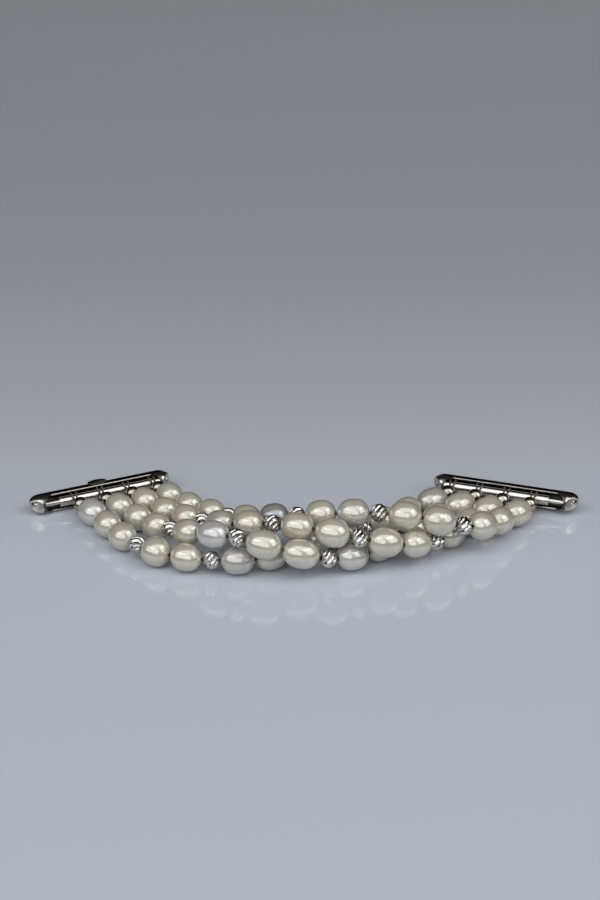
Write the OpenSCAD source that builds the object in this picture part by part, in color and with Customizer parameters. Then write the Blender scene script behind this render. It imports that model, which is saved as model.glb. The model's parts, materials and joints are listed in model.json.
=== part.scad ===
// Pearl watch band: four strands of freshwater pearls on elastic cord, each looped at both
// ends round a spring bar that is held in a slide-in adapter. The strands leave the left bar
// side by side, turn over each other in the middle and reach the right bar in reverse order.

/* [Adapter] */
// Length along the watch slot
adapter_len = 24.5; // [22:0.1:26]
// Thickness of the lips above and below the channel
lip_t = 0.25; // [0.2:0.01:0.35]
// Length of each ear beyond the channel
ear_len = 1.65; // [1.5:0.05:2]
// How far the lips of the channel stand behind the axis of the bar
lip_set_back = 0.15; // [0.1:0.05:0.4]
// How far the front of the ears stands before the axis of the bar
ear_front = 0.95; // [0.9:0.05:1.1]
// Rounding between the lips and the ears
ear_fillet = 0.4; // [0.3:0.1:0.8]
// Rounding of the front corners, seen from above
front_corner = 2.2; // [1.5:0.1:2.4]
// Rounding of the back corners, seen from above
back_corner = 0.8; // [0.5:0.1:1.2]

/* [Latch] */
// Length of the latch button along the rail
latch_len = 3.3; // [2.8:0.1:4]
// Width of the latch button
latch_w = 0.9; // [0.7:0.05:0.95]
// How far the button stands above the flat of the rail, which is also its travel
latch_rise = 0.3; // [0.25:0.05:0.5]
// Thickness of the button's flange
flange_t = 0.33; // [0.25:0.01:0.4]
// Metal between the latch pocket and the rounded back
latch_to_back = 0.59; // [0.55:0.01:1]
// How far the flange reaches past each end of the button
flange_reach = 0.5; // [0.3:0.1:0.7]
// Thickness of the leaf spring
leaf_t = 0.12; // [0.08:0.01:0.16]
// Thickness of the cover under the latch pocket
cover_t = 0.45; // [0.42:0.01:0.5]

/* [Spring bar] */
// Outside diameter of the tube
tube_d = 1.7; // [1.5:0.05:1.9]
// Wall of the tube
tube_wall = 0.15; // [0.12:0.01:0.18]
// Length of the crimped ends of the tube
crimp_len = 0.3; // [0.2:0.05:0.4]
// Gap between the tube and the far ear, towards which the strands pull it
far_gap = 0.4; // [0.38:0.02:0.6]
// Length of the near pin that shows between the tube and its ear
pin_shown = 3; // [2.6:0.1:4]
// Diameter of the pins
pin_d = 0.8; // [0.7:0.02:1]
// How deep a pin's tip sits in an ear
pin_seat = 0.5; // [0.4:0.05:0.6]
// Length of the collar that the crimp holds back
collar_len = 0.7; // [0.5:0.1:0.9]
// Wire of the spring inside the tube
bar_wire = 0.18; // [0.14:0.01:0.2]
// Turns of the spring inside the tube
bar_turns = 14; // [10:1:16]

/* [Strands] */
// How far the outer strand sits from the far end of the tube
far_edge = 1.2; // [1.15:0.05:1.8]
// How far the outer strand sits from the near end of the tube
near_edge = 2.8; // [1.6:0.05:2.9]
// Gap between the first pearls of neighbouring strands
pearl_gap = 0.232; // [0.2:0.002:0.4]
// Length of a full pearl along the cord
pearl_len = 5.85; // [5.6:0.05:6.4]
// Diameter of the diamond-cut beads
cut_bead_d = 3; // [2.6:0.1:3.4]
// Length of the diamond-cut beads
cut_bead_len = 2.7; // [2.4:0.1:3]
// Slanted cuts round each of them
diamond_cuts = 8; // [6:1:10]
// Depth of the cuts
cut_depth = 0.24; // [0.1:0.02:0.3]
// Diameter of the smooth end beads
end_bead_d = 2.5; // [2.2:0.1:2.6]
// Diameter of the elastic cord
cord_d = 0.34; // [0.28:0.02:0.36]
// Distance between the two turns of cord round a bar
turn_pitch = 1.5; // [1.1:0.1:1.8]
// Clearance of the two runs of cord in a bead
bore_gap = 0.1; // [0.08:0.01:0.2]

/* [Hidden] */
SIDES = ["left", "right"];
$fn = 48;

// Clearances: running fits, flat seats, the cord round a bar, the coil inside its tube,
// the end beads before the lips, and the overshoot of cutting shapes
running = 0.03;
seat = 0.01;
loop_gap = 0.06;
coil_gap = 0.1;
lip_clear = 0.2;
over = 1;

// The two bars seen from above: middle, turn about the vertical, and the way to the far ear
bar_at = [[-33.35, 10.2], [32.95, 9]];
bar_turn = [25, -18.5];
far_way = [1, -1];
// How far each adapter tips back. The left one has its rounded back on the table. The right one
// lies the other way up, as the strands turn half round, and stands on its latch button.
bar_tip = [11, 12];
latch_up = [true, false];
// Shift that brings the middle of the whole band over the origin
to_middle = [0.08, 0.2];

// Sizes of the pearls along each strand, length and diameter as shares of the full pearl
pearl_shares = [
    [[0.88, 0.91], [0.85, 0.92], [0.86, 0.94], [0.86, 1.00], [0.90, 0.95], [0.94, 0.94],
     [0.92, 0.92], [0.92, 0.94], [0.90, 0.94], [0.92, 0.92], [0.88, 0.92], [0.98, 0.91]],
    [[0.85, 0.91], [0.84, 0.92], [0.86, 0.94], [0.90, 0.90], [0.94, 0.95], [1.00, 0.99],
     [1.04, 0.99], [0.94, 0.94], [0.94, 0.92], [0.94, 0.92], [0.94, 0.92], [0.98, 0.91]],
    [[0.86, 0.91], [0.86, 0.92], [0.88, 0.94], [0.90, 0.94], [0.86, 0.94], [0.95, 0.96],
     [0.98, 1.00], [0.98, 0.98], [0.92, 0.93], [0.90, 0.92], [0.90, 0.92], [0.98, 0.91]],
    [[0.83, 0.91], [0.83, 0.92], [0.84, 0.94], [0.87, 0.94], [0.86, 0.95], [0.88, 0.97],
     [0.90, 0.98], [0.92, 0.98], [0.96, 1.00], [0.91, 0.96], [0.90, 0.94], [0.92, 0.91]]];
// The order of the beads on every strand: end, pearl or cut bead
pattern = ["end", "pearl", "pearl", "pearl", "cut", "pearl", "pearl", "cut", "pearl", "pearl",
    "cut", "pearl", "pearl", "cut", "pearl", "pearl", "pearl", "end"];

// Points that each strand passes on its way from the left bar to the right bar
routes = [
    [[-33.8, 2, 2.25], [-29.3, -6, 2.3], [-24.2, -11.4, 2.4], [-17, -14, 2.45], [-10.5, -14.7, 2.4],
     [-5.5, -13.5, 2.4], [2, -8.4, 2.4], [10, -2.6, 2.3], [17.4, 3.4, 2.3], [20.3, 6.2, 2.25]],
    [[-30, 4.6, 2.25], [-24.8, -2.4, 2.5], [-19, -9.2, 4.6], [-14.6, -13, 6.4], [-6.8, -16.2, 6.4],
     [-0.6, -16.3, 4.3], [7.4, -13.8, 2.4], [12.4, -9.6, 2.4], [18, -4, 2.3], [24.7, 4.8, 2.25]],
    [[-25.9, 5.9, 2.25], [-19.4, -1, 3], [-13.2, -7.3, 5], [-8.6, -9.3, 6.3], [-1.6, -11.8, 7.2],
     [4, -14.2, 7.2], [12.4, -14.3, 5.5], [17.2, -11.6, 3.7], [23, -6.5, 2.5], [28.8, 2.8, 2.25]],
    [[-21.9, 7.4, 2.25], [-15.2, 1.7, 2.5], [-9.4, -3.8, 4.2], [-4.7, -5.7, 5.6], [2.2, -8.2, 7.2],
     [7.5, -9, 8.1], [15.7, -10.1, 8.2], [21.5, -9.5, 6.8], [28.2, -7.3, 4.6], [33.6, 1.2, 2.25]]];

// Sizes that follow from the ones above: the channel leaves room for the cord round the bar
channel_r = tube_d / 2 + cord_d + loop_gap;
bore_r = cord_d + bore_gap / 2;
adapter_h = 2 * (channel_r + lip_t);
channel_len = adapter_len - 2 * ear_len;
half_channel = channel_len / 2;
// The tube fills the channel but for its play, and its crimps stop the collars of the pins
tube_len = channel_len - pin_shown - far_gap;
tube_shift = (pin_shown - far_gap) / 2;
pin_len = pin_seat + pin_shown + crimp_len + seat + collar_len;
spring_half = half_channel + pin_seat - pin_len;
// Wall between the channel and the latch, and the height of the ledge that holds its flange
latch_wall = 0.2;
flange_top = 0.28;
latch_mid = channel_r + latch_wall + running + latch_w / 2;
// Depth from the front of the ears to the rounded back, and the middle of that rounding
adapter_depth = ear_front + latch_mid + latch_w / 2 + running + latch_to_back;
back_mid = adapter_depth - ear_front - adapter_h / 2;
cover_top = cover_t - adapter_h / 2;
flange_bottom = flange_top - flange_t;
// The strands share the tube, and their first pearls, which are this share of a full pearl,
// lie side by side
first_share = 0.91;
strand_pitch = (tube_len - far_edge - near_edge) / 3;
strand_shift = tube_shift + (near_edge - far_edge) / 2;
pearl_d = (strand_pitch - pearl_gap) / first_share;
lead = channel_r + lip_clear;
// Height of a strand where its end bead meets its first pearl
bead_rise = 0.46 * pearl_d;

// The height of a bar's axis, with the back or the latch button of its adapter on the table
function bar_z(s) = latch_up[s] ? adapter_h / 2 + back_mid * sin(bar_tip[s])
    : (adapter_h / 2 + latch_rise) * cos(bar_tip[s]) + (latch_mid + latch_w / 2) * sin(bar_tip[s]);
// A point of the layout at a height, with the layout spread by f
function laid(p, z, f) = [p.x * f + to_middle.x, p.y * f + to_middle.y, z];
function bar_mid(s, f = spread) = laid(bar_at[s], bar_z(s), f);
function along(s) = far_way[s] * [cos(bar_turn[s]), sin(bar_turn[s]), 0];
function to_front(s) = [sin(bar_turn[s]), -cos(bar_turn[s]), 0];
function unit(v) = v / norm(v);
function strand_on_bar(s, k, f = spread) = bar_mid(s, f)
    + along(s) * (strand_shift + ((s == 0 ? k : 3 - k) - 1.5) * strand_pitch);

// Beads and their sizes, in order along strand k
function pearl_no(i) = len([for (j = [0:1:i - 1]) if (pattern[j] == "pearl") j]);
function bead_len(k, i) = pattern[i] == "end" ? end_bead_d
    : pattern[i] == "cut" ? cut_bead_len
    : pearl_len * pearl_shares[k][pearl_no(i)][0];
function bead_d(k, i) = pattern[i] == "end" ? end_bead_d
    : pattern[i] == "cut" ? cut_bead_d
    : pearl_d * pearl_shares[k][pearl_no(i)][1];
bead_count = len(pattern);

// The route of strand k: straight off the left bar, through its points, straight to the right bar
function by_bar(s, k, reach, height, f) = let (p = strand_on_bar(s, k, f) + to_front(s) * reach)
    [p.x, p.y, height];
function stations(k, f = spread) = concat(
    [by_bar(0, k, lead, bar_z(0), f), by_bar(0, k, lead + end_bead_d, bead_rise, f)],
    [for (p = routes[k]) laid(p, p.z * pearl_d / laid_d, f)],
    [by_bar(1, k, lead + end_bead_d, bead_rise, f), by_bar(1, k, lead, bar_z(1), f)]);
// Catmull-Rom curve through the stations
steps = 12;
function passed(p, i, t) = let (
    p0 = p[max(i - 1, 0)], p1 = p[i], p2 = p[i + 1], p3 = p[min(i + 2, len(p) - 1)])
    0.5 * (2 * p1 + (p2 - p0) * t + (2 * p0 - 5 * p1 + 4 * p2 - p3) * t * t
        + (3 * p1 - p0 - 3 * p2 + p3) * t * t * t);
function curve(p) = concat([for (i = [0:len(p) - 2], j = [0:steps - 1]) passed(p, i, j / steps)],
    [p[len(p) - 1]]);
function run_length(c, i = 1, sum = 0) = i == len(c) ? sum
    : run_length(c, i + 1, sum + norm(c[i] - c[i - 1]));
function beads_length(k, i = 0, sum = 0) = i == bead_count ? sum
    : beads_length(k, i + 1, sum + bead_len(k, i));
// The routes were laid out for pearls of this diameter. They spread with it, and with the beads
// of the strand that has the least room, so that every strand keeps a little slack.
laid_d = 4.8;
least_slack = 0.085;
spread = max(pearl_d / laid_d, max([for (k = [0:3])
    (beads_length(k) + (bead_count - 1) * least_slack) / run_length(curve(stations(k, 1)))]));
// The joints between beads: walk along the curve, one bead and one slack at a time
function beyond(c, from, i, d) = i == len(c) - 1 || norm(c[i] - from) >= d ? i : beyond(c, from, i + 1, d);
function step_on(c, from, i, d) = let (j = beyond(c, from, i, d), b = norm(c[j] - from),
    a = j == i ? 0 : norm(c[j - 1] - from), back = j == i ? from : c[j - 1])
    [back + (c[j] - back) * (d - a) / (b - a), j];
function chain(c, k, slack, from, i = 0, at = 1) = i == bead_count ? []
    : let (next = step_on(c, from, at, bead_len(k, i)), gap = step_on(c, next[0], next[1], slack))
    concat([[from, next[0]]], chain(c, k, slack, gap[0], i + 1, gap[1]));
function slack(k, c) = (run_length(c) - beads_length(k)) / (bead_count - 1);
function strand(k) = let (c = curve(stations(k))) chain(c, k, slack(k, c), c[0]);
strands = [for (k = [0:3]) strand(k)];

// Outer shape of the adapter, in its own frame: bar axis at the origin, +Y to its back
module rail_form() {
    front_mid = adapter_h / 2 - ear_front;
    intersection() {
        translate([0, -ear_front, -adapter_h]) linear_extrude(2 * adapter_h) {
            rounded_end(front_corner);
            translate([0, adapter_depth]) mirror([0, 1]) rounded_end(back_corner);
        }
        rotate([90, 0, 90]) linear_extrude(2 * adapter_len, center = true) {
            translate([front_mid, -adapter_h / 2]) square([back_mid - front_mid, adapter_h]);
            for (y = [front_mid, back_mid]) translate([y, 0]) circle(adapter_h / 2);
        }
    }
}

// One long side of the rail seen from above, with its two rounded corners, up to the other side's
module rounded_end(corner) {
    half = adapter_len / 2;
    translate([corner - half, 0]) square([2 * (half - corner), adapter_depth / 2 + over / 2]);
    translate([-half, corner]) square([2 * half, adapter_depth / 2 + over / 2 - corner]);
    for (way = [-1, 1]) translate([way * (half - corner), corner]) circle(corner);
}

// Upright block with round ends, about a point behind the channel
module slot_block(length, width, bottom, top) {
    translate([0, latch_mid, bottom]) linear_extrude(top - bottom) {
        square([length - width, width], center = true);
        for (way = [-1, 1]) translate([way * (length - width) / 2, 0]) circle(width / 2);
    }
}

flange_len = latch_len + 2 * flange_reach;

module adapter_piece() {
    difference() {
        rail_form();
        rotate([0, 90, 0]) cylinder(r = channel_r, h = channel_len - 2 * channel_r, center = true);
        for (way = [-1, 1]) {
            translate([way * (half_channel - channel_r), 0, 0]) sphere(channel_r);
            rotate([0, way * 90, 0])
                cylinder(d = pin_d + 2 * running, h = half_channel + pin_seat + 2 * seat);
        }
        lip_gap();
        slot_block(latch_len + 2 * running, latch_w + 2 * running, 0, adapter_h);
        slot_block(flange_len + 2 * running, latch_w + 2 * running, -adapter_h, flange_top + seat);
    }
}

// The front is milled back between the ears, up to the ball ends of the channel, with a round
// corner at each ear
past_ball = -0.2;
module lip_gap() {
    reach = half_channel - channel_r + past_ball;
    translate([0, 0, -adapter_h]) linear_extrude(2 * adapter_h) {
        translate([ear_fillet - reach, -ear_front - over])
            square([2 * (reach - ear_fillet), ear_front + over + lip_set_back]);
        translate([-reach, -ear_front - over])
            square([2 * reach, ear_front + over + lip_set_back - ear_fillet]);
        for (way = [-1, 1]) translate([way * (reach - ear_fillet), lip_set_back - ear_fillet])
            circle(ear_fillet);
    }
}

// Button with a crowned top, and the flange that keeps it in its pocket
module latch_button_piece() {
    dome = 7;
    intersection() {
        slot_block(latch_len, latch_w, flange_bottom, adapter_h / 2 + latch_rise);
        translate([0, 0, adapter_h / 2 + latch_rise - dome]) rotate([90, 0, 0])
            cylinder(r = dome, h = 4 * adapter_depth, center = true, $fn = 96);
    }
    slot_block(flange_len, latch_w, flange_bottom, flange_top);
}

// Bowed strip, its ends on the cover and its crown under the button
module latch_spring_piece() {
    leaf_w = 0.8 * latch_w;
    rise = flange_bottom - cover_top - 2 * seat;
    half = flange_len / 2 - latch_w / 4;
    bow = (half * half + rise * rise) / (2 * rise);
    translate([0, latch_mid, cover_top + seat]) rotate([90, 0, 0])
        linear_extrude(leaf_w, center = true) intersection() {
            translate([0, rise - bow]) difference() {
                circle(bow, $fn = 128);
                circle(bow - leaf_t, $fn = 128);
            }
            translate([-half, 0]) square([2 * half, rise + over]);
        }
}

module latch_cover_piece() {
    intersection() {
        rail_form();
        slot_block(flange_len, latch_w, -adapter_h, cover_top);
    }
}

// Spring bar tube, crimped at both ends round the pins
module bar_tube_piece() {
    rotate([0, 90, 0]) difference() {
        cylinder(d = tube_d, h = tube_len, center = true);
        cylinder(d = pin_d + 2 * running, h = tube_len + over, center = true);
        cylinder(d = tube_d - 2 * tube_wall, h = tube_len - 2 * crimp_len, center = true);
    }
}

// One pin, its bevelled tip in the ear that lies along +X
module bar_pin_piece() {
    bevel = 0.2;
    collar_d = tube_d - 2 * tube_wall - 2 * running;
    translate([half_channel + pin_seat, 0, 0]) rotate([0, -90, 0]) rotate_extrude() polygon([
        [0, 0], [pin_d / 2 - bevel, 0], [pin_d / 2, bevel], [pin_d / 2, pin_len - collar_len],
        [collar_d / 2, pin_len - collar_len], [collar_d / 2, pin_len], [0, pin_len]]);
}

// Rings of points joined into one tube; closed joins the last ring to the first
module tube_of_rings(rings, closed) {
    n = len(rings);
    m = len(rings[0]);
    spans = closed ? n : n - 1;
    sides = [for (i = [0:spans - 1], j = [0:m - 1], half = [0, 1]) let (
        a = i * m + j, b = i * m + (j + 1) % m, c = ((i + 1) % n) * m + j,
        d = ((i + 1) % n) * m + (j + 1) % m) half == 0 ? [a, b, d] : [a, d, c]];
    caps = closed ? [] : concat(
        [for (j = [1:m - 2]) [0, j + 1, j]],
        [for (j = [1:m - 2]) [(n - 1) * m, (n - 1) * m + j, (n - 1) * m + j + 1]]);
    polyhedron([for (r = rings) each r], concat(sides, caps));
}

// Coil spring between the collars of the two pins, straight for one wire at each end
spring_turn_steps = 8;
spring_len = 2 * (spring_half - seat);
spring_r = tube_d / 2 - tube_wall - coil_gap - bar_wire / 2;
spring_rise = (spring_len - 2 * bar_wire) / bar_turns;
function coil_mid(i) = let (angle = i * 360 / spring_turn_steps)
    [-spring_len / 2 + bar_wire + spring_rise * i / spring_turn_steps, spring_r * cos(angle),
        spring_r * sin(angle)];
function coil_ring(x, angle) = [for (j = [0:5]) let (a = j * 60, r = spring_r + bar_wire / 2 * cos(a))
    [x + bar_wire / 2 * sin(a), r * cos(angle), r * sin(angle)]];
function end_ring(x) = [for (j = [0:5]) let (a = j * 60)
    [x, spring_r + bar_wire / 2 * cos(a), -bar_wire / 2 * sin(a)]];
module bar_spring_piece() {
    n = bar_turns * spring_turn_steps;
    tube_of_rings(concat(
        [end_ring(-spring_len / 2)],
        [for (i = [0:n]) coil_ring(coil_mid(i).x, i * 360 / spring_turn_steps)],
        [end_ring(spring_len / 2)]), false);
}
echo(least_gap_in_bar_spring = min([for (i = [0:(bar_turns - 1) * spring_turn_steps])
    norm(coil_mid(i + spring_turn_steps) - coil_mid(i)) - bar_wire]));

module place(s) {
    translate(bar_mid(s)) rotate([0, 0, bar_turn[s]]) rotate([-bar_tip[s], 0, 0]) children();
}
module place_rail(s) { place(s) rotate([0, latch_up[s] ? 0 : 180, 0]) children(); }

// A bead on its place along strand k, drilled from end to end
module on_strand(k, i) {
    a = strands[k][i][0];
    v = strands[k][i][1] - a;
    translate(a + v / 2) rotate([0, acos(v.z / norm(v)), atan2(v.y, v.x)]) difference() {
        children();
        cylinder(r = bore_r, h = 2 * pearl_len, center = true);
    }
}

module pearls(k) {
    for (i = [0:bead_count - 1]) if (pattern[i] == "pearl")
        on_strand(k, i) scale([1, 1, bead_len(k, i) / bead_d(k, i)]) sphere(d = bead_d(k, i));
}

// Round bead with a ring of slanted hollows cut by a diamond tool
module cut_bead() {
    slant = 35;
    tool_r = 0.7;
    difference() {
        scale([1, 1, cut_bead_len / cut_bead_d]) sphere(d = cut_bead_d);
        for (j = [1:diamond_cuts]) rotate([0, 0, j * 360 / diamond_cuts])
            translate([cut_bead_d / 2 - cut_depth + tool_r, 0, 0]) rotate([slant, 0, 0])
                cylinder(r = tool_r, h = 2 * cut_bead_d, center = true);
    }
}

module cut_beads(k) {
    for (i = [0:bead_count - 1]) if (pattern[i] == "cut") on_strand(k, i) cut_bead();
}

module end_beads(k) {
    for (i = [0, bead_count - 1]) on_strand(k, i) sphere(d = end_bead_d);
}

// The elastic of strand k: one run above and one below through the beads, and two turns round
// each bar that start at loop_start degrees above the strand and end as far below it.
// Every ring of the tube lies between the strand's sideways way and its outward way.
loop_steps = 28;
loop_start = 54;
run_offset = cord_d / 2 + seat / 2;
function cord_ring(p, side, out) = [for (j = [0:5]) let (a = j * 60)
    p + cord_d / 2 * (cos(a) * side + sin(a) * out)];
function turn_round(s, k) = let (c = strand_on_bar(s, k), step = (720 - 2 * loop_start) / loop_steps,
    r = (tube_d / 2 + seat + cord_d / 2) / cos(step / 2))
    [for (i = [0:loop_steps]) let (b = loop_start + step * i,
        out = cos(b) * to_front(s) + sin(b) * [0, 0, 1],
        beside = along(s) * turn_pitch * (i / loop_steps - 0.5))
        cord_ring(c + beside + r * out, along(s), out)];
function joints(k) = let (b = strands[k]) concat([b[0][0]],
    [for (i = [0:bead_count - 2]) (b[i][1] + b[i + 1][0]) / 2], [b[bead_count - 1][1]]);
function run_rings(k, way) = let (p = joints(k), n = len(p)) [for (i = [0:n - 1]) let (
    t = unit(p[min(i + 1, n - 1)] - p[max(i - 1, 0)]), side = unit(cross([0, 0, 1], t)),
    up = cross(t, side)) cord_ring(p[i] + way * run_offset * up, side, way * up)];
function reversed(v) = [for (i = [len(v) - 1:-1:0]) v[i]];
module elastic_cord(k) {
    color("tan") tube_of_rings(reversed(concat(
        reversed(run_rings(k, 1)), turn_round(0, k), run_rings(k, -1), reversed(turn_round(1, k)))), true);
}

// Each sub-part in its place and colour
module adapter(s) { color("dimgray") place_rail(s) adapter_piece(); }
module latch_button(s) { color("black") place_rail(s) latch_button_piece(); }
module latch_spring(s) { color("silver") place_rail(s) latch_spring_piece(); }
module latch_cover(s) { color("gray") place_rail(s) latch_cover_piece(); }
module bar_tube(s) {
    color("gainsboro") place(s) translate([far_way[s] * tube_shift, 0, 0]) bar_tube_piece();
}
module bar_pin(s, way) {
    color("silver") place(s) rotate([0, 0, way * far_way[s] > 0 ? 0 : 180]) bar_pin_piece();
}
module bar_spring(s) { color("darkgray") place(s) bar_spring_piece(); }

for (k = [0:3]) {
    elastic_cord(k);
    color("ivory") pearls(k);
    color("silver") cut_beads(k);
    color("silver") end_beads(k);
}
for (s = [0, 1]) {
    adapter(s);
    latch_button(s);
    latch_spring(s);
    latch_cover(s);
    bar_tube(s);
    bar_pin(s, -1);
    bar_pin(s, 1);
    bar_spring(s);
}
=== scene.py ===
import bpy, bmesh, json, math
from collections import namedtuple
from mathutils import Matrix, Vector, noise


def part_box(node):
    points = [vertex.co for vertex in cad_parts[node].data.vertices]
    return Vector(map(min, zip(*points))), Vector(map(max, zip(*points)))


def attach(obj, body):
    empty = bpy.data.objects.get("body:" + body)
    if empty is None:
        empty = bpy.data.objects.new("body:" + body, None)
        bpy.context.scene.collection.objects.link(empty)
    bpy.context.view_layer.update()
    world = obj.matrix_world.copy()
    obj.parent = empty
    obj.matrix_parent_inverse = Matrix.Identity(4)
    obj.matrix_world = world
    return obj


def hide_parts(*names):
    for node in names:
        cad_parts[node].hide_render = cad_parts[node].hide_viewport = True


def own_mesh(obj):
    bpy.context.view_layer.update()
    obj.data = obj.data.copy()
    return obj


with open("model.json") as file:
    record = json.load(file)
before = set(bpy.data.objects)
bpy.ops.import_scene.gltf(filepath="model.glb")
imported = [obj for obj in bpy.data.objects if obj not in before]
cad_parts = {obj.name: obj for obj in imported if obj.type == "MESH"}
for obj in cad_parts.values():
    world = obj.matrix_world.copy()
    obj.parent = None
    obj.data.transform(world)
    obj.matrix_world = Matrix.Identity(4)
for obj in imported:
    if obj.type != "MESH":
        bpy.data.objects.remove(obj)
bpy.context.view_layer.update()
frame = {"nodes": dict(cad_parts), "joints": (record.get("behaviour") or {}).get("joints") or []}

LOOK_DOWN = 26.006

scene = bpy.context.scene
scene.view_settings.view_transform = "Standard"
camera_data = bpy.data.cameras.new("camera")
camera_data.sensor_fit = "HORIZONTAL"
camera_data.sensor_width = 36
camera_data.lens = 174.84
camera_data.clip_start, camera_data.clip_end = 0.05, 20
camera = bpy.data.objects.new("camera", camera_data)
camera.location = (-0.0006, -0.41884, 0.2191)
camera.rotation_euler = (math.radians(90 - LOOK_DOWN), 0, 0)
scene.collection.objects.link(camera)
scene.camera = camera


# Elastic cords: one closed loop of clear, slightly brown elastic per strand. Two runs lie over
# each other in the beads, and at each end the cord is wound twice round the spring bar.
STRANDS = (1, 2, 3, 4)
SAME_SPOT = 1e-7


def merged_copy(name):
    """The triangles of a CAD node, joined into closed solids."""
    shape = bmesh.new()
    shape.from_mesh(frame["nodes"][name].data)
    bmesh.ops.remove_doubles(shape, verts=shape.verts, dist=SAME_SPOT)
    return shape


def paired_copy(name):
    """A merged copy of a wound wire or cord, with its triangles joined in pairs."""
    shape = merged_copy(name)
    bmesh.ops.join_triangles(shape, faces=shape.faces, angle_face_threshold=math.pi,
                             angle_shape_threshold=math.pi)
    return shape


def finish_piece(shape, name, body, material, stands_for, sharp=180):
    """Makes an object of a bmesh, smooth but for its edges of more than sharp degrees."""
    for face in shape.faces:
        face.smooth = True
    mesh = bpy.data.meshes.new(name)
    shape.to_mesh(mesh)
    shape.free()
    if sharp < 180:
        mesh.set_sharp_from_angle(angle=math.radians(sharp))
    mesh.materials.append(material)
    piece = bpy.data.objects.new(name, mesh)
    scene.collection.objects.link(piece)
    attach(piece, body)
    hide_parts(stands_for)
    return piece


def feed(tree, socket, value):
    """Links a socket to another node's output, or sets it to a constant."""
    if isinstance(value, bpy.types.NodeSocket):
        tree.links.new(value, socket)
    else:
        socket.default_value = value


def node_in(tree, kind, settings=(), **values):
    """A shader node with its properties set and its sockets fed."""
    made = tree.nodes.new(kind)
    for key, value in settings:
        setattr(made, key, value)
    for key, value in values.items():
        feed(tree, made.inputs[key.replace("_", " ")], value)
    return made


def place_in(tree):
    """Where a point lies on its piece, in metres."""
    return node_in(tree, "ShaderNodeTexCoord").outputs["Object"]


def noise_in(tree, place, scale, detail, **values):
    """A cloudy pattern, with values round a half."""
    return node_in(tree, "ShaderNodeTexNoise", Vector=place, Scale=scale, Detail=detail,
                   **values).outputs["Fac"]


def ramp_in(tree, factor, stops):
    """A colour ramp on a factor, with stops of (place, red, green, blue)."""
    ramp = node_in(tree, "ShaderNodeValToRGB", Fac=factor)
    points = ramp.color_ramp.elements
    for number, (place, *colour) in enumerate(stops):
        point = points[number] if number < 2 else points.new(place)
        point.position = place
        point.color = (*colour, 1)
    return ramp.outputs["Color"]


def bump_in(tree, shader, height, depth, strength):
    """Fine relief of a surface, from a pattern of heights."""
    bump = node_in(tree, "ShaderNodeBump", Height=height, Strength=strength, Distance=depth)
    feed(tree, shader.inputs["Normal"], bump.outputs["Normal"])


def shader_of(name, roughness, **constants):
    """A material, with its node tree and its main shader set up."""
    material = bpy.data.materials.new(name)
    material.use_nodes = True
    tree = material.node_tree
    shader = tree.nodes["Principled BSDF"]
    shader.inputs["Roughness"].default_value = roughness
    for key, value in constants.items():
        shader.inputs[key.replace("_", " ")].default_value = value
    return material, tree, shader


def elastic_finish():
    """Clear elastic that has yellowed a little, with fine streaks."""
    material, tree, shader = shader_of("clear elastic", roughness=0.14, IOR=1.46,
                                       Transmission_Weight=0.3)
    streaks = noise_in(tree, place_in(tree), scale=2600.0, detail=3.0)
    tint = ramp_in(tree, streaks, [(0.3, 0.08, 0.055, 0.04), (0.7, 0.24, 0.17, 0.12)])
    feed(tree, shader.inputs["Base Color"], tint)
    bump_in(tree, shader, streaks, depth=0.00001, strength=0.4)
    return material


clear_elastic = elastic_finish()
for strand in STRANDS:
    cord = paired_copy(f"elastic_cord_{strand}")
    bmesh.ops.recalc_face_normals(cord, faces=cord.faces)
    piece = finish_piece(cord, f"cord_{strand}", "strands", clear_elastic,
                         f"elastic_cord_{strand}")
    rounding = piece.modifiers.new("rounding", "SUBSURF")
    rounding.levels = rounding.render_levels = 1


# Pearls: freshwater pearls of nearly oval shape, grown in thin layers of nacre and drilled from
# end to end. No two are alike: each leans a little, some carry growth rings, some are cooler.

# A bead's number from the left, its middle, its turn from the Z axis to the way of its bore,
# half its length, its radius and the radius of the bore
Seat = namedtuple("Seat", "number middle turn reach radius bore")
# What each way counts at first in the search for a bore's way, and the rounds of the search
ALL_WAYS, AXIS_ROUNDS = 1.02, 40
BORE_EDGE = 0.00005


def solids_in(shape):
    """The corners of each separate solid of a bmesh, in an order that is the same each run."""
    seen, solids = set(), []
    for start in shape.verts:
        if start in seen:
            continue
        seen.add(start)
        solid = [start]
        # The list grows by each corner's neighbours while it is gone through
        for corner in solid:
            for edge in corner.link_edges:
                other = edge.other_vert(corner)
                if other not in seen:
                    seen.add(other)
                    solid.append(other)
        solids.append(solid)
    return solids


def bore_axis(wall):
    """The one way that no face of a bore's wall looks along, taken to the right."""
    facing = Matrix.Identity(3) * ALL_WAYS
    area = sum(face.calc_area() for face in wall)
    for face in wall:
        part = face.calc_area() / area
        for i in range(3):
            for j in range(3):
                facing[i][j] -= part * face.normal[i] * face.normal[j]
    # Each round takes more of the ways that the wall faces out of the axis
    axis = Vector((1, 0.1, 0.1))
    for _ in range(AXIS_ROUNDS):
        axis = (facing @ axis).normalized()
    if axis.x < 0:
        axis.negate()
    return axis


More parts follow.
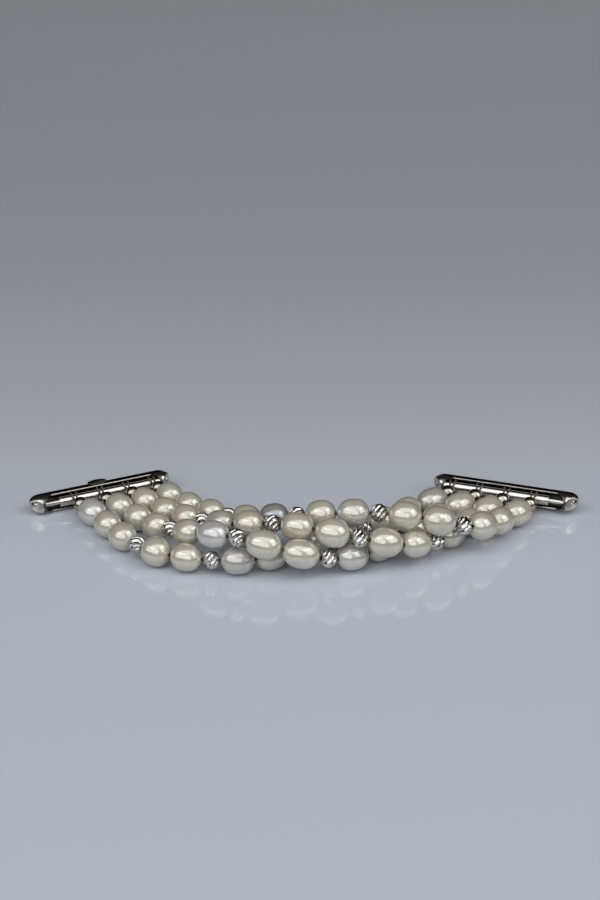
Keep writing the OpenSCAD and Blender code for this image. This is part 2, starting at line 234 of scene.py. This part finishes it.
def bead_seats(name):
    """Where the beads of a node sit and how large they are, from left to right."""
    shape = merged_copy(name)
    shape.normal_update()
    found = []
    for solid in solids_in(shape):
        faces = dict.fromkeys(face for corner in solid for face in corner.link_faces)
        low = Vector(min(corner.co[i] for corner in solid) for i in range(3))
        high = Vector(max(corner.co[i] for corner in solid) for i in range(3))
        middle = (low + high) / 2
        # Only the faces of the bore look towards the middle
        axis = bore_axis([face for face in faces
                          if face.normal.dot(face.calc_center_median() - middle) < 0])
        off_axis = [(corner.co - middle) - axis * (corner.co - middle).dot(axis)
                    for corner in solid]
        reach = max(abs((corner.co - middle).dot(axis)) for corner in solid)
        radius = max(way.length for way in off_axis)
        bore = min(way.length for way in off_axis)
        turn = axis.to_track_quat("Z", "Y").to_matrix().to_4x4()
        found.append((middle, turn, reach, radius, bore))
    shape.free()
    found.sort(key=lambda seat: seat[0].x)
    return [Seat(number, *seat) for number, seat in enumerate(found, 1)]


def half_length(seat):
    """Half the length of a bead's ball, as it was before the bore took its poles away."""
    return seat.reach / math.sqrt(1 - (seat.bore / seat.radius) ** 2)


def drill(shape, bore):
    """Opens the poles of a ball round the Z axis and joins them with a straight bore."""
    for way in (1, -1):
        pole = max(shape.verts, key=lambda corner: way * corner.co.z)
        ring = [edge.other_vert(pole) for edge in pole.link_edges]
        bmesh.ops.delete(shape, geom=[pole, *ring], context="VERTS")
    rims = [edge for edge in shape.edges if edge.is_boundary]
    for corner in dict.fromkeys(corner for edge in rims for corner in edge.verts):
        flat = Vector((corner.co.x, corner.co.y, 0))
        corner.co += flat.normalized() * (bore - flat.length)
    bmesh.ops.bridge_loops(shape, edges=rims)
    bmesh.ops.bevel(shape, geom=rims, offset=BORE_EDGE, segments=2, profile=0.5,
                    affect="EDGES", material=-1)


def thread(bead, seat):
    """Drills a ball round the Z axis and takes it to its seat on the cord."""
    drill(bead, seat.bore)
    matrix = Matrix.Translation(seat.middle) @ seat.turn
    bmesh.ops.transform(bead, matrix=matrix, verts=bead.verts)
    return bead


# Cool greys, dark ones and growth rings of single pearls: (strand, number from the left). A
# growth ring has its place along the pearl, from -1 to 1, its width and its depth.
COOLNESS = {(1, 1): 0.75, (1, 6): 0.6, (1, 12): 0.5, (2, 5): 0.85, (2, 8): 0.7, (4, 5): 0.9,
            (4, 7): 0.35, (3, 4): 0.3, (2, 6): 0.1}
DARKNESS = {(4, 5): 0.75, (1, 6): 0.25, (1, 12): 0.2, (3, 4): 0.2}
GROWTH_RINGS = {(4, 7): ((-0.06, 0.05, 0.02), (0.06, 0.04, 0.016), (-0.22, 0.05, 0.012),
                         (0.17, 0.04, 0.012), (0.3, 0.05, 0.008)),
                (4, 8): ((-0.02, 0.05, 0.014), (0.12, 0.04, 0.012), (-0.25, 0.05, 0.01)),
                (4, 9): ((-0.1, 0.05, 0.012), (0.2, 0.03, 0.014)),
                (4, 6): ((-0.5, 0.06, 0.01), (-0.34, 0.05, 0.01)),
                (4, 10): ((0.42, 0.05, 0.02),),
                (3, 11): ((-0.3, 0.04, 0.02), (-0.42, 0.04, 0.014)),
                (2, 3): ((-0.35, 0.05, 0.016),),
                (2, 8): ((0.12, 0.02, 0.014),)}
# How cool the other pearls are, and how far a pearl is from a true oval, in shares of its size
COOL_LEVEL, COOL_SPREAD = 0.12, 0.2
LEAN, DENTS, SHOULDERS, RING_FORCE = 0.05, 0.025, 0.2, 1.8
END_GAP, END_DENTS = 0.995, 0.012


def grow_pearl(strand, seat):
    """One drilled pearl: a ball drawn out along its cord, pushed a little out of true."""
    which = (strand, seat.number)
    half = half_length(seat)
    pearl = bmesh.new()
    bmesh.ops.create_uvsphere(pearl, u_segments=56, v_segments=40, radius=1)
    along_layer = pearl.verts.layers.float.new("along")
    cool_layer = pearl.verts.layers.float.new("cool")
    dark_layer = pearl.verts.layers.float.new("dark")
    seed = Vector((strand * 7.3, seat.number * 3.1, 0))
    lean = LEAN * noise.noise(seed)
    cool = COOLNESS.get(which, COOL_LEVEL + COOL_SPREAD * noise.noise(seed * 1.7))
    for corner in pearl.verts:
        along = corner.co.z
        corner[along_layer] = along
        corner[cool_layer] = cool
        corner[dark_layer] = DARKNESS.get(which, 0)
        dent = DENTS * abs(noise.noise(corner.co * 0.8 + seed))
        swell = 1 - 0.5 * abs(lean) + lean * along - dent
        for at, width, depth in GROWTH_RINGS.get(which, ()):
            swell -= RING_FORCE * depth * math.exp(-((along - at) / width) ** 2)
        # Fuller shoulders than an oval's, as a freshwater pearl has
        full = 1 + SHOULDERS * (1 - along ** 2) * along ** 2
        corner.co.x *= seat.radius * swell * full
        corner.co.y *= seat.radius * swell * full
        corner.co.z *= half * (END_GAP - END_DENTS * abs(noise.noise(corner.co + seed)))
    return thread(pearl, seat)


def attribute_in(tree, name):
    """What a piece's corners say of themselves, by the name of their layer."""
    return node_in(tree, "ShaderNodeAttribute", [("attribute_name", name)]).outputs["Fac"]


def range_in(tree, value, low, high, to_low=0.0, to_high=1.0):
    """A value taken from one range to another, and held in it."""
    return node_in(tree, "ShaderNodeMapRange", Value=value, From_Min=low, From_Max=high,
                   To_Min=to_low, To_Max=to_high).outputs["Result"]


def sum_in(tree, one, other):
    """Two patterns added up."""
    total = node_in(tree, "ShaderNodeMath", [("operation", "ADD")])
    feed(tree, total.inputs[0], one)
    feed(tree, total.inputs[1], other)
    return total.outputs["Value"]


def mix_in(tree, factor, under, over, blend="MIX"):
    """One colour laid over another as far as the factor says."""
    mix = node_in(tree, "ShaderNodeMix", [("data_type", "RGBA"), ("blend_type", blend)],
                  Factor=factor)
    feed(tree, mix.inputs[6], under)
    feed(tree, mix.inputs[7], over)
    return mix.outputs[2]


def nacre_finish():
    """Cream or grey nacre under a clear, very glossy skin."""
    material, tree, shader = shader_of("nacre", roughness=0.08, Metallic=0.22, IOR=1.7,
                                       Specular_Tint=(0.75, 0.9, 1, 1), Coat_Weight=1.0,
                                       Coat_Roughness=0.015, Coat_IOR=1.85)
    place = place_in(tree)
    cloud = noise_in(tree, place, scale=260.0, detail=2.0, Distortion=0.6)
    cream = ramp_in(tree, cloud, [(0.25, 0.53, 0.465, 0.35), (0.5, 0.56, 0.51, 0.41),
                                  (0.75, 0.58, 0.545, 0.47)])
    grey = ramp_in(tree, cloud, [(0.3, 0.47, 0.47, 0.46), (0.7, 0.55, 0.555, 0.56)])
    tone = mix_in(tree, attribute_in(tree, "cool"), cream, grey)
    # Fine layers of growth, as pale and tan lines round the cord's way
    layers = node_in(tree, "ShaderNodeTexNoise", [("noise_dimensions", "1D")], Scale=26.0,
                     W=attribute_in(tree, "along"), Detail=4.0, Roughness=0.7).outputs["Fac"]
    lines = ramp_in(tree, layers, [(0.3, 0.9, 0.86, 0.8), (0.5, 1, 1, 1)])
    lined = mix_in(tree, 0.5, tone, lines, "MULTIPLY")
    shade = mix_in(tree, attribute_in(tree, "dark"), lined, (0.42, 0.42, 0.43, 1), "MULTIPLY")
    feed(tree, shader.inputs["Base Color"], shade)
    # Patches where the skin is a little duller, so that the gloss breaks up
    dull = noise_in(tree, place, scale=620.0, detail=2.0)
    gloss = range_in(tree, dull, low=0.35, high=0.65, to_low=0.05, to_high=0.11)
    feed(tree, shader.inputs["Roughness"], gloss)
    # A faint waviness of the skin
    skin = noise_in(tree, place, scale=700.0, detail=2.0)
    bump_in(tree, shader, sum_in(tree, skin, layers), depth=0.00002, strength=0.3)
    return material


def gather_beads(name, node, make, material, sharp):
    """All beads of one node, made one by one and joined into one piece."""
    beads = bmesh.new()
    for seat in bead_seats(node):
        bead = make(seat)
        mesh = bpy.data.meshes.new("bead")
        bead.to_mesh(mesh)
        bead.free()
        beads.from_mesh(mesh)
        bpy.data.meshes.remove(mesh)
    bmesh.ops.recalc_face_normals(beads, faces=beads.faces)
    finish_piece(beads, name, "strands", material, node, sharp)


nacre = nacre_finish()
for strand in STRANDS:
    gather_beads(f"strand_{strand}_pearls", f"pearls_{strand}",
                 lambda seat: grow_pearl(strand, seat), nacre, sharp=50)


# Diamond-cut beads: small balls of white metal, drilled, with slanted hollows cut round them by
# a diamond tool, so that each facet throws its own hard light. Threaded between the pearls.
CUTS, CUT_DEPTH, CUT_TWIST = 10, 0.1, -2.1
MERIDIANS_PER_CUT = 6
# How much, and over how short a way, the beads' turns round the cord differ
START_SPREAD, START_GRAIN = 40, 900


def metal_finish(name, roughness, colour, wear, scale=1800.0, milled=None):
    """Polished metal with hairline scratches and patches that have dulled in wear. Where the
    piece's channel attribute is 1, the metal is rougher from the cutter and painted dark in the
    given colour, a painted shade of that recess."""
    material, tree, shader = shader_of(name, roughness, Metallic=1.0)
    place = place_in(tree)
    # The hairlines run along the band, so their pattern is finer across it and upwards
    stretch = node_in(tree, "ShaderNodeMapping", Vector=place, Scale=(1, 3, 7))
    hairs = noise_in(tree, stretch.outputs["Vector"], scale, detail=5.0, Roughness=0.65)
    patches = noise_in(tree, place, scale / 5, detail=3.0)
    worn = [channel * (1 - wear) for channel in colour]
    tint = ramp_in(tree, patches, [(0.3, *worn), (0.55, *colour)])
    rough = range_in(tree, patches, low=0.3, high=0.7, to_low=roughness * 0.7,
                     to_high=roughness * 1.5)
    # The channel's near-black colour is painted shade; its higher roughness is the cutter's
    # finish.
    if milled:
        inside = attribute_in(tree, "milled")
        tint = mix_in(tree, inside, tint, (*milled, 1))
        cutter = range_in(tree, inside, low=0.0, high=1.0, to_high=0.3)
        rough = sum_in(tree, rough, cutter)
    feed(tree, shader.inputs["Base Color"], tint)
    feed(tree, shader.inputs["Roughness"], rough)
    bump_in(tree, shader, hairs, depth=0.000004, strength=0.35)
    return material


def cut_bead(seat):
    """One ball with slanted hollows. The meridian between two cuts is a ridge, and all of them
    are twisted."""
    half = half_length(seat)
    bead = bmesh.new()
    bmesh.ops.create_uvsphere(bead, u_segments=CUTS * MERIDIANS_PER_CUT, v_segments=26, radius=1)
    start = START_SPREAD * noise.noise(seat.middle * START_GRAIN)
    for corner in bead.verts:
        round_way = math.atan2(corner.co.y, corner.co.x)
        hollow = abs(math.sin(round_way * CUTS / 2))
        corner.co *= 1 - CUT_DEPTH * hollow * (1 - corner.co.z ** 6)
        turned = Matrix.Rotation(start + CUT_TWIST / 2 * corner.co.z, 3, "Z")
        corner.co = turned @ Vector((corner.co.x * seat.radius, corner.co.y * seat.radius,
                                     corner.co.z * half))
    return thread(bead, seat)


cut_metal = metal_finish("cut white metal", roughness=0.045, colour=(0.62, 0.6, 0.57), wear=0.25)
for strand in STRANDS:
    gather_beads(f"strand_{strand}_cut_beads", f"cut_beads_{strand}", cut_bead, cut_metal,
                 sharp=30)


# End beads: smooth turned balls of the same metal at both ends of each strand, which keep the
# first and the last pearl off the bar.
def end_bead(seat):
    """One smooth ball."""
    bead = bmesh.new()
    bmesh.ops.create_uvsphere(bead, u_segments=48, v_segments=22, radius=seat.radius)
    return thread(bead, seat)


bead_metal = metal_finish("turned white metal", roughness=0.08, colour=(0.46, 0.41, 0.35),
                          wear=0.35)
for strand in STRANDS:
    gather_beads(f"strand_{strand}_end_beads", f"end_beads_{strand}", end_bead, bead_metal,
                 sharp=50)


# Adapters: rails of polished steel that slide into the slots of a watch. Milled in one piece,
# with a rounded back, a channel for the spring bar and an ear at each end of it.
SIDES = ("left", "right")
JOINTS = {joint["name"]: joint for joint in frame["joints"]}
# Along the bar from its middle: the channel's end, the nose's start and the rail's end
EAR_START, NOSE_START, RAIL_END = 0.0106, 0.0104, 0.01225
# The channel's radius, and how much further out its wall is still looked for
CHANNEL_RADIUS, CHANNEL_SKIN = 0.00125, 0.00001
# The length that only the channel's lips are above, their rounding, and the radius round the
# bar's axis within which the noses leave the pins' holes as they are
LIP_LENGTH, LIP_ROUND, HOLE_CLEAR = 0.015, 0.00009, 0.0005
# Cuts along a nose and strips across it, how far it is drawn in at its end, and how far its tip
# lies above the middle, both in shares of its size
NOSE_CUTS, CROSS_CUTS, NOSE_DROP, TIP_RISE = 14, 10, 0.96, 0.15
# Degrees between faces: up to where they are one, and from where their edge gets a bevel or
# shows sharp, on small pieces, on a rail's noses and on the rest of it
ONE_FACE, BEVEL_FROM = 0.6, 28
SHARP, NOSE_SHARP, RAIL_SHARP = 24, 60, 14
# Widths of the bevels on rails and buttons, on covers and the bar's pieces, and on leaves
FINE_EDGE, THIN_EDGE, LEAF_EDGE = 0.00004, 0.00003, 0.00001


def edged_copy(name, width):
    """A CAD solid with its flat faces whole and its sharp edges broken by a narrow bevel."""
    shape = merged_copy(name)
    bmesh.ops.dissolve_limit(shape, angle_limit=math.radians(ONE_FACE), verts=shape.verts,
                             edges=shape.edges)
    shape.normal_update()
    # The lips of a rail's channel are rounded fully, and come first
    for least, offset, segments in ((LIP_LENGTH, LIP_ROUND, 4), (0, width, 2)):
        edges = [edge for edge in shape.edges if edge.is_manifold and edge.calc_length() > least
                 and edge.calc_face_angle(0) > math.radians(BEVEL_FROM)]
        bmesh.ops.bevel(shape, geom=edges, offset=offset, segments=segments, profile=0.5,
                        affect="EDGES", material=-1, clamp_overlap=least == 0)
        shape.normal_update()
    bmesh.ops.remove_doubles(shape, verts=shape.verts, dist=SAME_SPOT)
    bmesh.ops.recalc_face_normals(shape, faces=shape.faces)
    return shape


def cut_noses(rail, bar_point, bar_way, cross_ways):
    """Cuts across both ends of a rail and along them, so that they can be drawn in. Gives how
    far they reach along both ways across the bar."""
    for end in (1, -1):
        for step in range(NOSE_CUTS):
            share = math.sin(math.pi / 2 * step / NOSE_CUTS)
            at = bar_point + bar_way * end * (NOSE_START + (RAIL_END - NOSE_START) * share)
            bmesh.ops.bisect_plane(rail, geom=[*rail.verts, *rail.edges, *rail.faces],
                                   plane_co=at, plane_no=bar_way)
    nose = [corner.co - bar_point for corner in rail.verts
            if abs((corner.co - bar_point).dot(bar_way)) > NOSE_START]
    spans = [(min(spot.dot(way) for spot in nose), max(spot.dot(way) for spot in nose))
             for way in cross_ways]
    for way, (low, high) in zip(cross_ways, spans):
        for step in range(1, CROSS_CUTS):
            ends = [face for face in rail.faces
                    if abs((face.calc_center_median() - bar_point).dot(bar_way)) > NOSE_START]
            parts = dict.fromkeys(part for face in ends
                                  for part in (face, *face.edges, *face.verts))
            at = bar_point + way * (low + (high - low) * step / CROSS_CUTS)
            bmesh.ops.bisect_plane(rail, geom=list(parts), plane_co=at, plane_no=way)
    return spans


def draw_in_noses(rail, bar_point, bar_way, cross_ways, spans):
    """Rounds both ends of a rail to noses, and marks the channel for its cutter finish and its
    painted shade.
    """
    milled = rail.verts.layers.float.new("milled")
    for corner in rail.verts:
        from_bar = corner.co - bar_point
        along = from_bar.dot(bar_way)
        off_bar = (from_bar - bar_way * along).length
        if abs(along) > NOSE_START and off_bar > HOLE_CLEAR:
            share = (abs(along) - NOSE_START) / (RAIL_END - NOSE_START)
            drop = 1 - math.sqrt(max(0, 1 - (NOSE_DROP * share) ** 2))
            for way, (low, high) in zip(cross_ways, spans):
                tip = (low + high) / 2 + TIP_RISE * (high - low) * way.z
                corner.co -= way * (from_bar.dot(way) - tip) * drop
        # The channel gets the cutter's roughness and a painted shade.
        if off_bar < CHANNEL_RADIUS + CHANNEL_SKIN and abs(along) < EAR_START:
            corner[milled] = 1
    # Long flat faces stay flat to their edges, and the noses are smooth all round
    rail.normal_update()
    for edge in rail.edges:
        middle = (edge.verts[0].co + edge.verts[1].co) / 2 - bar_point
        limit = NOSE_SHARP if abs(middle.dot(bar_way)) > NOSE_START else RAIL_SHARP
        edge.smooth = edge.calc_face_angle(0) < math.radians(limit)


# Painted shade: the channel inside the rail is coloured near black, for the shade in that recess.
rail_metal = metal_finish("polished rail steel", roughness=0.05, colour=(0.58, 0.55, 0.51),
                          wear=0.14, scale=1200.0, milled=(0.1, 0.09, 0.08))
for side in SIDES:
    body = f"{side}_adapter_body"
    hinge = JOINTS[f"{side}_adapter_turn"]
    bar_way, bar_point = Vector(hinge["axis"]), Vector(hinge["pos_m"])
    press_way = Vector(JOINTS[f"{side}_latch_press"]["axis"])
    cross_ways = (press_way, bar_way.cross(press_way))
    rail = edged_copy(f"{side}_adapter", FINE_EDGE)
    spans = cut_noses(rail, bar_point, bar_way, cross_ways)
    draw_in_noses(rail, bar_point, bar_way, cross_ways, spans)
    finish_piece(rail, f"{side}_rail", body, rail_metal, f"{side}_adapter")
    finish_piece(edged_copy(f"{side}_latch_cover", THIN_EDGE), f"{side}_pocket_cover", body,
                 rail_metal, f"{side}_latch_cover", sharp=SHARP)


# Latch: a crowned steel button that snaps into the watch, pressed up by a bowed leaf spring
# whose ends stand on the cover.
def extent(piece, way):
    """The lowest and highest place of a piece's corners along a way."""
    heights = [corner.co.dot(way) for corner in piece.data.vertices]
    return min(heights), max(heights)


latch_metal = metal_finish("blackened latch steel", roughness=0.16, colour=(0.035, 0.033, 0.03),
                           wear=0.25, scale=1500.0)
spring_steel = metal_finish("spring steel", roughness=0.2, colour=(0.52, 0.5, 0.47), wear=0.25,
                            scale=2200.0)
for side in SIDES:
    finish_piece(edged_copy(f"{side}_latch_button", FINE_EDGE), f"{side}_button",
                 f"{side}_latch", latch_metal, f"{side}_latch_button",
                 sharp=SHARP)
    leaf = finish_piece(edged_copy(f"{side}_latch_spring", LEAF_EDGE), f"{side}_leaf",
                        f"{side}_adapter_body", spring_steel,
                        f"{side}_latch_spring", sharp=SHARP)
    press = JOINTS[f"{side}_latch_press"]
    press_way = Vector(press["axis"])
    low, high = extent(leaf, press_way)
    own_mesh(leaf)


# Spring bars: a bright tube crimped at both ends round two sliding pins, which a coil spring
# between them presses into the blind holes of the ears. The coil is cut into a half for each pin.
bar_metal = metal_finish("bright bar steel", roughness=0.045, colour=(0.64, 0.61, 0.57), wear=0.1,
                         scale=1600.0)
for side in SIDES:
    for node, body in (("bar_tube", "tube"), ("bar_pin_near", "near_pin"),
                       ("bar_pin_far", "far_pin")):
        finish_piece(edged_copy(f"{side}_{node}", THIN_EDGE), f"{side}_{body}_turned",
                     f"{side}_{body}", bar_metal, f"{side}_{node}",
                     sharp=SHARP)
    coil = paired_copy(f"{side}_bar_spring")
    low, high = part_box(f"{side}_bar_spring")
    middle = (Vector(low) + Vector(high)) / 2
    for pin in ("near", "far"):
        press = JOINTS[f"{side}_{pin}_pin_press"]
        inwards = Vector(press["axis"])
        half = coil.copy()
        bmesh.ops.bisect_plane(half, geom=[*half.verts, *half.edges, *half.faces],
                               plane_co=middle, plane_no=inwards, clear_outer=True)
        bmesh.ops.holes_fill(half, edges=[edge for edge in half.edges if edge.is_boundary])
        bmesh.ops.subdivide_edges(half, edges=half.edges, cuts=1, use_grid_fill=True, smooth=1.0)
        bmesh.ops.recalc_face_normals(half, faces=half.faces)
        piece = finish_piece(half, f"{side}_{pin}_coil_half", "strands", spring_steel,
                             f"{side}_bar_spring")
        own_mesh(piece)
    coil.free()


# Table: a glossy grey sheet that the band lies on and is mirrored in. Its colour is painted
# shade: pale in front and darker from behind the band towards the back, as the light falls off.
TABLE_HALF, SHADE_FROM, SHADE_TO = 4, -0.1, 0.3
table_shape = bmesh.new()
bmesh.ops.create_grid(table_shape, x_segments=1, y_segments=1, size=TABLE_HALF)
table_mesh = bpy.data.meshes.new("table")
table_shape.to_mesh(table_mesh)
table_shape.free()
table, tree, shader = shader_of("table gloss", roughness=0.06, IOR=1.5)
place = place_in(tree)
ways = node_in(tree, "ShaderNodeSeparateXYZ", Vector=place)
# Painted shade of the light falling off: the colour darkens with distance behind the band.
depth = range_in(tree, ways.outputs["Y"], SHADE_FROM, SHADE_TO)
feed(tree, shader.inputs["Base Color"], ramp_in(tree, depth, [
    (0.0, 0.535, 0.572, 0.635), (0.23, 0.538, 0.58, 0.645), (0.29, 0.52, 0.552, 0.605),
    (0.34, 0.478, 0.502, 0.54), (0.42, 0.43, 0.45, 0.485), (0.51, 0.387, 0.406, 0.44),
    (0.62, 0.366, 0.387, 0.416), (0.8, 0.368, 0.39, 0.42), (0.96, 0.394, 0.413, 0.438)]))
grain = noise_in(tree, place, scale=60.0, detail=3.0)
bump_in(tree, shader, grain, depth=0.00002, strength=0.1)
table_mesh.materials.append(table)
floor = bpy.data.objects.new("table", table_mesh)
scene.collection.objects.link(floor)


# Light: soft boxes before, beside and above the band, with dark gaps between them that show on
# the pearls. The room is pale before the band, and dark behind it and near the table.
LAMP_AWAY = 1.1


def soft_box(name, azimuth, elevation, width, height, level):
    """A lamp that looks at the band, azimuth degrees to the right of the camera's side. Level
    is how bright its face is, 1 being white."""
    lamp = bpy.data.lights.new(name, "AREA")
    lamp.shape = "RECTANGLE"
    lamp.size, lamp.size_y = width, height
    lamp.energy = level * math.pi * width * height
    across, up = math.radians(azimuth), math.radians(elevation)
    way = Vector((math.sin(across) * math.cos(up), -math.cos(across) * math.cos(up),
                  math.sin(up)))
    stand = bpy.data.objects.new(name, lamp)
    stand.location = way * LAMP_AWAY
    stand.rotation_euler = (-way).to_track_quat("-Z", "Y").to_euler()
    scene.collection.objects.link(stand)


soft_box("front box", azimuth=-31, elevation=35, width=2.1, height=0.8, level=1.32)
soft_box("side box", azimuth=68, elevation=35, width=0.9, height=0.85, level=1.5)
soft_box("overhead box", azimuth=5, elevation=70, width=2.3, height=0.66, level=1.2)
world = bpy.data.worlds.new("room")
world.use_nodes = True
scene.world = world
room = world.node_tree
looking = node_in(room, "ShaderNodeTexCoord").outputs["Generated"]
ways = node_in(room, "ShaderNodeSeparateXYZ", Vector=looking)
walls = ramp_in(room, range_in(room, ways.outputs["Y"], -1.0, 1.0), [
    (0.0, 0.5, 0.5, 0.5), (0.45, 0.26, 0.26, 0.265), (0.62, 0.04, 0.04, 0.042),
    (1.0, 0.02, 0.02, 0.022)])
low_wall = ramp_in(room, range_in(room, ways.outputs["Z"], -1.0, 1.0), [
    (0.55, 0.15, 0.15, 0.15), (0.66, 1.0, 1.0, 1.0)])
dimmed = mix_in(room, 1.0, walls, low_wall, "MULTIPLY")
feed(room, room.nodes["Background"].inputs["Color"], dimmed)
